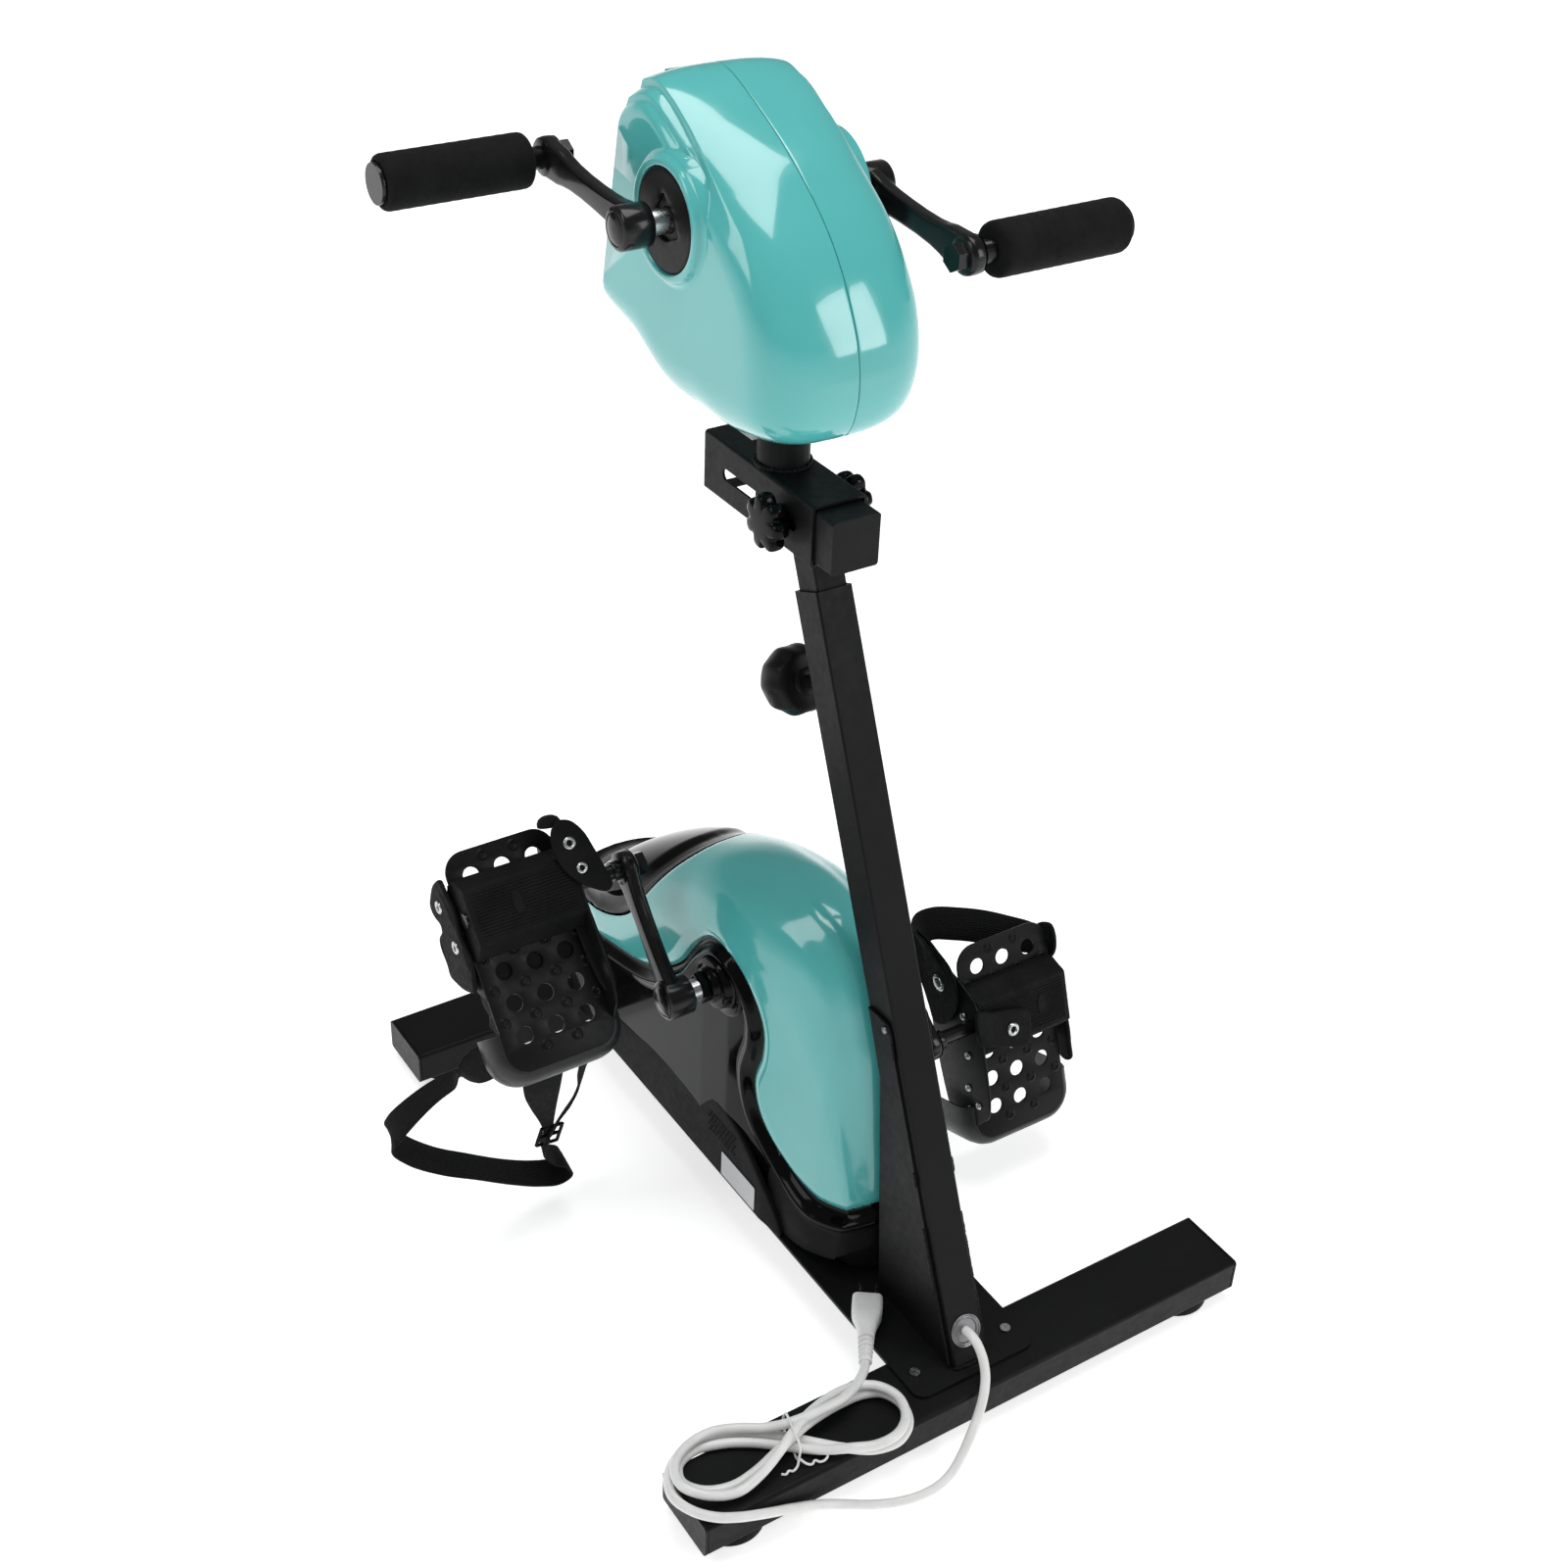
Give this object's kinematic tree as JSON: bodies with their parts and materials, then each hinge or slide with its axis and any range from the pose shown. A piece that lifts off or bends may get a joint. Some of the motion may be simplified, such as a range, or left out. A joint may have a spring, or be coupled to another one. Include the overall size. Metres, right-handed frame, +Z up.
{
  "type": "motorised arm and leg pedal exerciser",
  "caption": "Free-standing exerciser with a leaning post, a teal arm-crank head on a height and reach slide, and a teal and black pedal drive with strapped footplates.",
  "frame": {"origin": "on the floor, under the middle of the machine's box", "axes": "+X to the user's left, along the crossbars; +Y towards the seated user; +Z up"},
  "size_m": [0.5662, 0.6526, 0.917],
  "materials": {
    "frame_black": "satin powder coat over steel",
    "bright_steel": "bright zinc-plated and turned steel",
    "inner_steel": "grey primed steel",
    "teal_plastic": "gloss moulded shell",
    "black_gloss": "gloss black moulded cover",
    "black_matte": "fine-grain moulded plastic",
    "base_matte": "fine-grain dark grey moulded plastic",
    "black_rubber": "moulded rubber",
    "foam_black": "closed-cell foam grip",
    "forged_black": "black e-coat on forged steel",
    "webbing": "woven polypropylene webbing",
    "cord_white": "white PVC",
    "display_glass": "clear window over a liquid crystal panel",
    "button_red": "silicone-feel plastic",
    "button_grey": "silicone-feel plastic",
    "board_green": "glass-epoxy board with components",
    "motor_steel": "zinc-plated motor can"
  },
  "bodies": {
    "base": {"front_crossbar": "frame_black", "rear_crossbar": "frame_black", "end_caps": "black_matte", "feet": "black_rubber", "base_plate": "frame_black", "plate_screws": "bright_steel", "post": "frame_black", "grommet": "bright_steel", "cord_lead": "cord_white", "cord_hank": "cord_white", "cord_tail": "cord_white", "plug": "cord_white", "twist_tie": "cord_white", "cowl": "teal_plastic", "top_cap": "black_gloss", "side_cover_left": "black_gloss", "side_cover_right": "black_gloss", "base_cover": "base_matte", "drive_frame": "inner_steel", "drive_motor": "motor_steel", "drive_bearings": "bright_steel", "drive_belt": "black_rubber", "control_board": "board_green"},
    "mast_body": {"mast": "frame_black"},
    "height_clamp": {"height_knob": "black_matte"},
    "carriage": {"sleeve": "frame_black", "head_frame": "inner_steel", "head_shell_left": "teal_plastic", "head_shell_right": "teal_plastic", "face_panel": "black_matte", "display": "display_glass", "hub_discs": "black_matte", "head_motor": "motor_steel", "head_belt": "black_rubber", "head_bearings": "bright_steel"},
    "clamp_left": {"clamp_knob_left": "black_matte"},
    "clamp_right": {"clamp_knob_right": "black_matte"},
    "hand_crank": {"hand_axle": "bright_steel", "hand_arms": "forged_black", "hand_spindles": "forged_black", "hand_pulley": "black_matte"},
    "hand_pinion": {"head_motor_pulley": "bright_steel"},
    "hand_grip_left": {"grip_left": "foam_black"},
    "hand_grip_right": {"grip_right": "foam_black"},
    "pedal_crank": {"leg_axle": "bright_steel", "leg_arms": "forged_black", "leg_spindles": "forged_black", "leg_pulley": "black_matte"},
    "pedal_pinion": {"drive_motor_pulley": "bright_steel"},
    "pedal_left": {"pedal_block_left": "black_rubber", "footplate_left": "forged_black", "pedal_screws_left": "bright_steel", "strap_left": "webbing"},
    "pedal_right": {"pedal_block_right": "black_rubber", "footplate_right": "forged_black", "pedal_screws_right": "bright_steel", "strap_right": "webbing"},
    "start_button": {"button_start": "button_red"},
    "minus_button": {"button_minus": "button_grey"},
    "plus_button": {"button_plus": "button_grey"}
  },
  "joints": [
    {"name": "height_slide", "type": "slide", "parent": "base", "child": "mast_body", "axis": [0, 0.3923, 0.9198], "range_m": [-0.012, 0.18]},
    {"name": "height_clamp_turn", "type": "hinge", "parent": "base", "child": "height_clamp", "pos_m": [0.0331, -0.06183, 0.52683], "axis": [0, 0.9198, -0.3923], "range_deg": [-1080, 0]},
    {"name": "reach_slide", "type": "slide", "parent": "mast_body", "child": "carriage", "axis": [0, 1, 0], "range_m": [-0.075, 0.011]},
    {"name": "clamp_left_turn", "type": "hinge", "parent": "mast_body", "child": "clamp_left", "pos_m": [-0.0029, -0.0125, 0.643], "axis": [-1, 0, 0], "range_deg": [-720, 0]},
    {"name": "clamp_right_turn", "type": "hinge", "parent": "mast_body", "child": "clamp_right", "pos_m": [0.0691, -0.0125, 0.643], "axis": [1, 0, 0], "range_deg": [-720, 0]},
    {"name": "hand_crank_spin", "type": "hinge", "parent": "carriage", "child": "hand_crank", "pos_m": [0.0331, 0.0705, 0.835], "axis": [1, 0, 0], "continuous": true},
    {"name": "hand_pinion_spin", "type": "hinge", "parent": "carriage", "child": "hand_pinion", "pos_m": [0.0531, 0.0175, 0.765], "axis": [1, 0, 0], "continuous": true},
    {"name": "grip_left_spin", "type": "hinge", "parent": "hand_crank", "child": "hand_grip_left", "pos_m": [-0.1309, 0.19001, 0.84588], "axis": [1, 0, 0], "continuous": true},
    {"name": "grip_right_spin", "type": "hinge", "parent": "hand_crank", "child": "hand_grip_right", "pos_m": [0.1971, -0.04901, 0.82412], "axis": [1, 0, 0], "continuous": true},
    {"name": "pedal_crank_spin", "type": "hinge", "parent": "base", "child": "pedal_crank", "pos_m": [0.0331, -0.002, 0.241], "axis": [1, 0, 0], "continuous": true},
    {"name": "pedal_pinion_spin", "type": "hinge", "parent": "base", "child": "pedal_pinion", "pos_m": [0.0531, 0.1595, 0.118], "axis": [1, 0, 0], "continuous": true},
    {"name": "pedal_left_spin", "type": "hinge", "parent": "pedal_crank", "child": "pedal_left", "pos_m": [-0.1579, 0.07166, 0.31999], "axis": [1, 0, 0], "continuous": true, "deforming": ["strap_left"]},
    {"name": "pedal_right_spin", "type": "hinge", "parent": "pedal_crank", "child": "pedal_right", "pos_m": [0.2241, -0.07566, 0.16201], "axis": [1, 0, 0], "continuous": true, "deforming": ["strap_right"]},
    {"name": "start_button_press", "type": "slide", "parent": "carriage", "child": "start_button", "axis": [0, -0.9806, -0.1959], "range_m": [0, 0.0015], "stiffness_N_per_m": 400},
    {"name": "minus_button_press", "type": "slide", "parent": "carriage", "child": "minus_button", "axis": [0, -0.9806, -0.1959], "range_m": [0, 0.0015], "stiffness_N_per_m": 400},
    {"name": "plus_button_press", "type": "slide", "parent": "carriage", "child": "plus_button", "axis": [0, -0.9806, -0.1959], "range_m": [0, 0.0015], "stiffness_N_per_m": 400}
  ],
  "couplings": [
    {"joint": "hand_pinion_spin", "follows": "hand_crank_spin", "ratio": 4.3636},
    {"joint": "pedal_pinion_spin", "follows": "pedal_crank_spin", "ratio": 5.2857}
  ]
}
